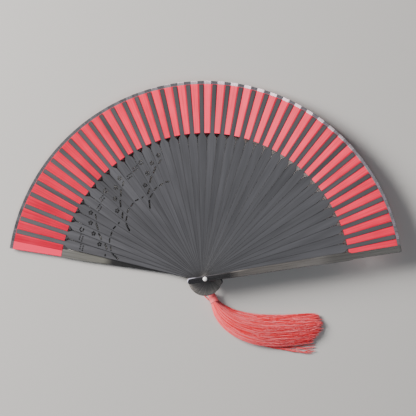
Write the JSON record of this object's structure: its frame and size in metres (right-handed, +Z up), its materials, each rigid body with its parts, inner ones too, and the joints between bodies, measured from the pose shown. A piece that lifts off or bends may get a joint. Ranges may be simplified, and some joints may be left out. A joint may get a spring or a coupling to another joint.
{
  "type": "folding fan",
  "caption": "Pleated folding fan: thin pierced black ribs between two guard sticks turn on one rivet, with a bound cloth leaf and a tassel on a cord loop.",
  "frame": {"origin": "centre of the flat back face of the rivet, on the surface that the fan lies on", "axes": "+Z up, along the rivet and out of the front of the fan; +Y from the rivet along the middle of the open fan; +X to the right, across the open fan"},
  "size_m": [0.3818, 0.2586, 0.0239],
  "materials": {
    "rib_wood": "black-stained and thinly lacquered, fine grain along each rib",
    "guard_wood": "black lacquer rubbed to a soft gloss, rounded edges",
    "leaf_cloth": "thin red silk-like cloth, plain weave with a light sheen, pleated",
    "edge_binding": "narrow grey satin tape folded over the leaf's outer edge",
    "rivet_metal": "bright turned metal",
    "rivet_cap": "white glossy domed cap",
    "tassel_thread": "coral red silky threads, glossy, cut at the free end"
  },
  "bodies": {
    "root": {"rear_guard": "guard_wood", "rivet_pin": "rivet_metal", "rivet_cap": "rivet_cap", "leaf": "leaf_cloth", "edge_binding": "edge_binding"},
    "rib_01_body": {"rib_01": "rib_wood"},
    "rib_02_body": {"rib_02": "rib_wood"},
    "rib_03_body": {"rib_03": "rib_wood"},
    "rib_04_body": {"rib_04": "rib_wood"},
    "rib_05_body": {"rib_05": "rib_wood"},
    "rib_06_body": {"rib_06": "rib_wood"},
    "rib_07_body": {"rib_07": "rib_wood"},
    "rib_08_body": {"rib_08": "rib_wood"},
    "rib_09_body": {"rib_09": "rib_wood"},
    "rib_10_body": {"rib_10": "rib_wood"},
    "rib_11_body": {"rib_11": "rib_wood"},
    "rib_12_body": {"rib_12": "rib_wood"},
    "rib_13_body": {"rib_13": "rib_wood"},
    "rib_14_body": {"rib_14": "rib_wood"},
    "rib_15_body": {"rib_15": "rib_wood"},
    "rib_16_body": {"rib_16": "rib_wood"},
    "rib_17_body": {"rib_17": "rib_wood"},
    "rib_18_body": {"rib_18": "rib_wood"},
    "rib_19_body": {"rib_19": "rib_wood"},
    "rib_20_body": {"rib_20": "rib_wood"},
    "rib_21_body": {"rib_21": "rib_wood"},
    "rib_22_body": {"rib_22": "rib_wood"},
    "rib_23_body": {"rib_23": "rib_wood"},
    "rib_24_body": {"rib_24": "rib_wood"},
    "rib_25_body": {"rib_25": "rib_wood"},
    "rib_26_body": {"rib_26": "rib_wood"},
    "rib_27_body": {"rib_27": "rib_wood"},
    "rib_28_body": {"rib_28": "rib_wood"},
    "rib_29_body": {"rib_29": "rib_wood"},
    "rib_30_body": {"rib_30": "rib_wood"},
    "rib_31_body": {"rib_31": "rib_wood"},
    "rib_32_body": {"rib_32": "rib_wood"},
    "rib_33_body": {"rib_33": "rib_wood"},
    "rib_34_body": {"rib_34": "rib_wood"},
    "rib_35_body": {"rib_35": "rib_wood"},
    "rib_36_body": {"rib_36": "rib_wood"},
    "rib_37_body": {"rib_37": "rib_wood"},
    "rib_38_body": {"rib_38": "rib_wood"},
    "rib_39_body": {"rib_39": "rib_wood"},
    "rib_40_body": {"rib_40": "rib_wood"},
    "front_guard_body": {"front_guard": "guard_wood"},
    "tassel": {"tassel_cord": "tassel_thread", "tassel_neck": "tassel_thread", "tassel_skirt": "tassel_thread"}
  },
  "joints": [
    {"name": "fan_fold", "type": "hinge", "parent": "root", "child": "front_guard_body", "pos_m": [0, 0, 0], "axis": [0, 0, 1], "range_deg": [0, 161], "deforming": ["leaf", "edge_binding"]},
    {"name": "rib_01_turn", "type": "hinge", "parent": "root", "child": "rib_01_body", "pos_m": [0, 0, 0], "axis": [0, 0, 1], "range_deg": [0, 3.93]},
    {"name": "rib_02_turn", "type": "hinge", "parent": "root", "child": "rib_02_body", "pos_m": [0, 0, 0], "axis": [0, 0, 1], "range_deg": [0, 7.85]},
    {"name": "rib_03_turn", "type": "hinge", "parent": "root", "child": "rib_03_body", "pos_m": [0, 0, 0], "axis": [0, 0, 1], "range_deg": [0, 11.78]},
    {"name": "rib_04_turn", "type": "hinge", "parent": "root", "child": "rib_04_body", "pos_m": [0, 0, 0], "axis": [0, 0, 1], "range_deg": [0, 15.71]},
    {"name": "rib_05_turn", "type": "hinge", "parent": "root", "child": "rib_05_body", "pos_m": [0, 0, 0], "axis": [0, 0, 1], "range_deg": [0, 19.63]},
    {"name": "rib_06_turn", "type": "hinge", "parent": "root", "child": "rib_06_body", "pos_m": [0, 0, 0], "axis": [0, 0, 1], "range_deg": [0, 23.56]},
    {"name": "rib_07_turn", "type": "hinge", "parent": "root", "child": "rib_07_body", "pos_m": [0, 0, 0], "axis": [0, 0, 1], "range_deg": [0, 27.49]},
    {"name": "rib_08_turn", "type": "hinge", "parent": "root", "child": "rib_08_body", "pos_m": [0, 0, 0], "axis": [0, 0, 1], "range_deg": [0, 31.41]},
    {"name": "rib_09_turn", "type": "hinge", "parent": "root", "child": "rib_09_body", "pos_m": [0, 0, 0], "axis": [0, 0, 1], "range_deg": [0, 35.34]},
    {"name": "rib_10_turn", "type": "hinge", "parent": "root", "child": "rib_10_body", "pos_m": [0, 0, 0], "axis": [0, 0, 1], "range_deg": [0, 39.27]},
    {"name": "rib_11_turn", "type": "hinge", "parent": "root", "child": "rib_11_body", "pos_m": [0, 0, 0], "axis": [0, 0, 1], "range_deg": [0, 43.2]},
    {"name": "rib_12_turn", "type": "hinge", "parent": "root", "child": "rib_12_body", "pos_m": [0, 0, 0], "axis": [0, 0, 1], "range_deg": [0, 47.12]},
    {"name": "rib_13_turn", "type": "hinge", "parent": "root", "child": "rib_13_body", "pos_m": [0, 0, 0], "axis": [0, 0, 1], "range_deg": [0, 51.05]},
    {"name": "rib_14_turn", "type": "hinge", "parent": "root", "child": "rib_14_body", "pos_m": [0, 0, 0], "axis": [0, 0, 1], "range_deg": [0, 54.98]},
    {"name": "rib_15_turn", "type": "hinge", "parent": "root", "child": "rib_15_body", "pos_m": [0, 0, 0], "axis": [0, 0, 1], "range_deg": [0, 58.9]},
    {"name": "rib_16_turn", "type": "hinge", "parent": "root", "child": "rib_16_body", "pos_m": [0, 0, 0], "axis": [0, 0, 1], "range_deg": [0, 62.83]},
    {"name": "rib_17_turn", "type": "hinge", "parent": "root", "child": "rib_17_body", "pos_m": [0, 0, 0], "axis": [0, 0, 1], "range_deg": [0, 66.76]},
    {"name": "rib_18_turn", "type": "hinge", "parent": "root", "child": "rib_18_body", "pos_m": [0, 0, 0], "axis": [0, 0, 1], "range_deg": [0, 70.68]},
    {"name": "rib_19_turn", "type": "hinge", "parent": "root", "child": "rib_19_body", "pos_m": [0, 0, 0], "axis": [0, 0, 1], "range_deg": [0, 74.61]},
    {"name": "rib_20_turn", "type": "hinge", "parent": "root", "child": "rib_20_body", "pos_m": [0, 0, 0], "axis": [0, 0, 1], "range_deg": [0, 78.54]},
    {"name": "rib_21_turn", "type": "hinge", "parent": "root", "child": "rib_21_body", "pos_m": [0, 0, 0], "axis": [0, 0, 1], "range_deg": [0, 82.46]},
    {"name": "rib_22_turn", "type": "hinge", "parent": "root", "child": "rib_22_body", "pos_m": [0, 0, 0], "axis": [0, 0, 1], "range_deg": [0, 86.39]},
    {"name": "rib_23_turn", "type": "hinge", "parent": "root", "child": "rib_23_body", "pos_m": [0, 0, 0], "axis": [0, 0, 1], "range_deg": [0, 90.32]},
    {"name": "rib_24_turn", "type": "hinge", "parent": "root", "child": "rib_24_body", "pos_m": [0, 0, 0], "axis": [0, 0, 1], "range_deg": [0, 94.24]},
    {"name": "rib_25_turn", "type": "hinge", "parent": "root", "child": "rib_25_body", "pos_m": [0, 0, 0], "axis": [0, 0, 1], "range_deg": [0, 98.17]},
    {"name": "rib_26_turn", "type": "hinge", "parent": "root", "child": "rib_26_body", "pos_m": [0, 0, 0], "axis": [0, 0, 1], "range_deg": [0, 102.1]},
    {"name": "rib_27_turn", "type": "hinge", "parent": "root", "child": "rib_27_body", "pos_m": [0, 0, 0], "axis": [0, 0, 1], "range_deg": [0, 106.02]},
    {"name": "rib_28_turn", "type": "hinge", "parent": "root", "child": "rib_28_body", "pos_m": [0, 0, 0], "axis": [0, 0, 1], "range_deg": [0, 109.95]},
    {"name": "rib_29_turn", "type": "hinge", "parent": "root", "child": "rib_29_body", "pos_m": [0, 0, 0], "axis": [0, 0, 1], "range_deg": [0, 113.88]},
    {"name": "rib_30_turn", "type": "hinge", "parent": "root", "child": "rib_30_body", "pos_m": [0, 0, 0], "axis": [0, 0, 1], "range_deg": [0, 117.8]},
    {"name": "rib_31_turn", "type": "hinge", "parent": "root", "child": "rib_31_body", "pos_m": [0, 0, 0], "axis": [0, 0, 1], "range_deg": [0, 121.73]},
    {"name": "rib_32_turn", "type": "hinge", "parent": "root", "child": "rib_32_body", "pos_m": [0, 0, 0], "axis": [0, 0, 1], "range_deg": [0, 125.66]},
    {"name": "rib_33_turn", "type": "hinge", "parent": "root", "child": "rib_33_body", "pos_m": [0, 0, 0], "axis": [0, 0, 1], "range_deg": [0, 129.59]},
    {"name": "rib_34_turn", "type": "hinge", "parent": "root", "child": "rib_34_body", "pos_m": [0, 0, 0], "axis": [0, 0, 1], "range_deg": [0, 133.51]},
    {"name": "rib_35_turn", "type": "hinge", "parent": "root", "child": "rib_35_body", "pos_m": [0, 0, 0], "axis": [0, 0, 1], "range_deg": [0, 137.44]},
    {"name": "rib_36_turn", "type": "hinge", "parent": "root", "child": "rib_36_body", "pos_m": [0, 0, 0], "axis": [0, 0, 1], "range_deg": [0, 141.37]},
    {"name": "rib_37_turn", "type": "hinge", "parent": "root", "child": "rib_37_body", "pos_m": [0, 0, 0], "axis": [0, 0, 1], "range_deg": [0, 145.29]},
    {"name": "rib_38_turn", "type": "hinge", "parent": "root", "child": "rib_38_body", "pos_m": [0, 0, 0], "axis": [0, 0, 1], "range_deg": [0, 149.22]},
    {"name": "rib_39_turn", "type": "hinge", "parent": "root", "child": "rib_39_body", "pos_m": [0, 0, 0], "axis": [0, 0, 1], "range_deg": [0, 153.15]},
    {"name": "rib_40_turn", "type": "hinge", "parent": "root", "child": "rib_40_body", "pos_m": [0, 0, 0], "axis": [0, 0, 1], "range_deg": [0, 157.07]},
    {"name": "tassel_swing", "type": "hinge", "parent": "root", "child": "tassel", "pos_m": [0, 0, 0], "axis": [0, 0, 1], "range_deg": [-90, 8]}
  ],
  "couplings": [
    {"joint": "rib_01_turn", "follows": "fan_fold", "ratio": 0.02439},
    {"joint": "rib_02_turn", "follows": "fan_fold", "ratio": 0.04878},
    {"joint": "rib_03_turn", "follows": "fan_fold", "ratio": 0.073171},
    {"joint": "rib_04_turn", "follows": "fan_fold", "ratio": 0.097561},
    {"joint": "rib_05_turn", "follows": "fan_fold", "ratio": 0.12195},
    {"joint": "rib_06_turn", "follows": "fan_fold", "ratio": 0.14634},
    {"joint": "rib_07_turn", "follows": "fan_fold", "ratio": 0.17073},
    {"joint": "rib_08_turn", "follows": "fan_fold", "ratio": 0.19512},
    {"joint": "rib_09_turn", "follows": "fan_fold", "ratio": 0.21951},
    {"joint": "rib_10_turn", "follows": "fan_fold", "ratio": 0.2439},
    {"joint": "rib_11_turn", "follows": "fan_fold", "ratio": 0.26829},
    {"joint": "rib_12_turn", "follows": "fan_fold", "ratio": 0.29268},
    {"joint": "rib_13_turn", "follows": "fan_fold", "ratio": 0.31707},
    {"joint": "rib_14_turn", "follows": "fan_fold", "ratio": 0.34146},
    {"joint": "rib_15_turn", "follows": "fan_fold", "ratio": 0.36585},
    {"joint": "rib_16_turn", "follows": "fan_fold", "ratio": 0.39024},
    {"joint": "rib_17_turn", "follows": "fan_fold", "ratio": 0.41463},
    {"joint": "rib_18_turn", "follows": "fan_fold", "ratio": 0.43902},
    {"joint": "rib_19_turn", "follows": "fan_fold", "ratio": 0.46341},
    {"joint": "rib_20_turn", "follows": "fan_fold", "ratio": 0.4878},
    {"joint": "rib_21_turn", "follows": "fan_fold", "ratio": 0.5122},
    {"joint": "rib_22_turn", "follows": "fan_fold", "ratio": 0.53659},
    {"joint": "rib_23_turn", "follows": "fan_fold", "ratio": 0.56098},
    {"joint": "rib_24_turn", "follows": "fan_fold", "ratio": 0.58537},
    {"joint": "rib_25_turn", "follows": "fan_fold", "ratio": 0.60976},
    {"joint": "rib_26_turn", "follows": "fan_fold", "ratio": 0.63415},
    {"joint": "rib_27_turn", "follows": "fan_fold", "ratio": 0.65854},
    {"joint": "rib_28_turn", "follows": "fan_fold", "ratio": 0.68293},
    {"joint": "rib_29_turn", "follows": "fan_fold", "ratio": 0.70732},
    {"joint": "rib_30_turn", "follows": "fan_fold", "ratio": 0.73171},
    {"joint": "rib_31_turn", "follows": "fan_fold", "ratio": 0.7561},
    {"joint": "rib_32_turn", "follows": "fan_fold", "ratio": 0.78049},
    {"joint": "rib_33_turn", "follows": "fan_fold", "ratio": 0.80488},
    {"joint": "rib_34_turn", "follows": "fan_fold", "ratio": 0.82927},
    {"joint": "rib_35_turn", "follows": "fan_fold", "ratio": 0.85366},
    {"joint": "rib_36_turn", "follows": "fan_fold", "ratio": 0.87805},
    {"joint": "rib_37_turn", "follows": "fan_fold", "ratio": 0.90244},
    {"joint": "rib_38_turn", "follows": "fan_fold", "ratio": 0.92683},
    {"joint": "rib_39_turn", "follows": "fan_fold", "ratio": 0.95122},
    {"joint": "rib_40_turn", "follows": "fan_fold", "ratio": 0.97561}
  ]
}
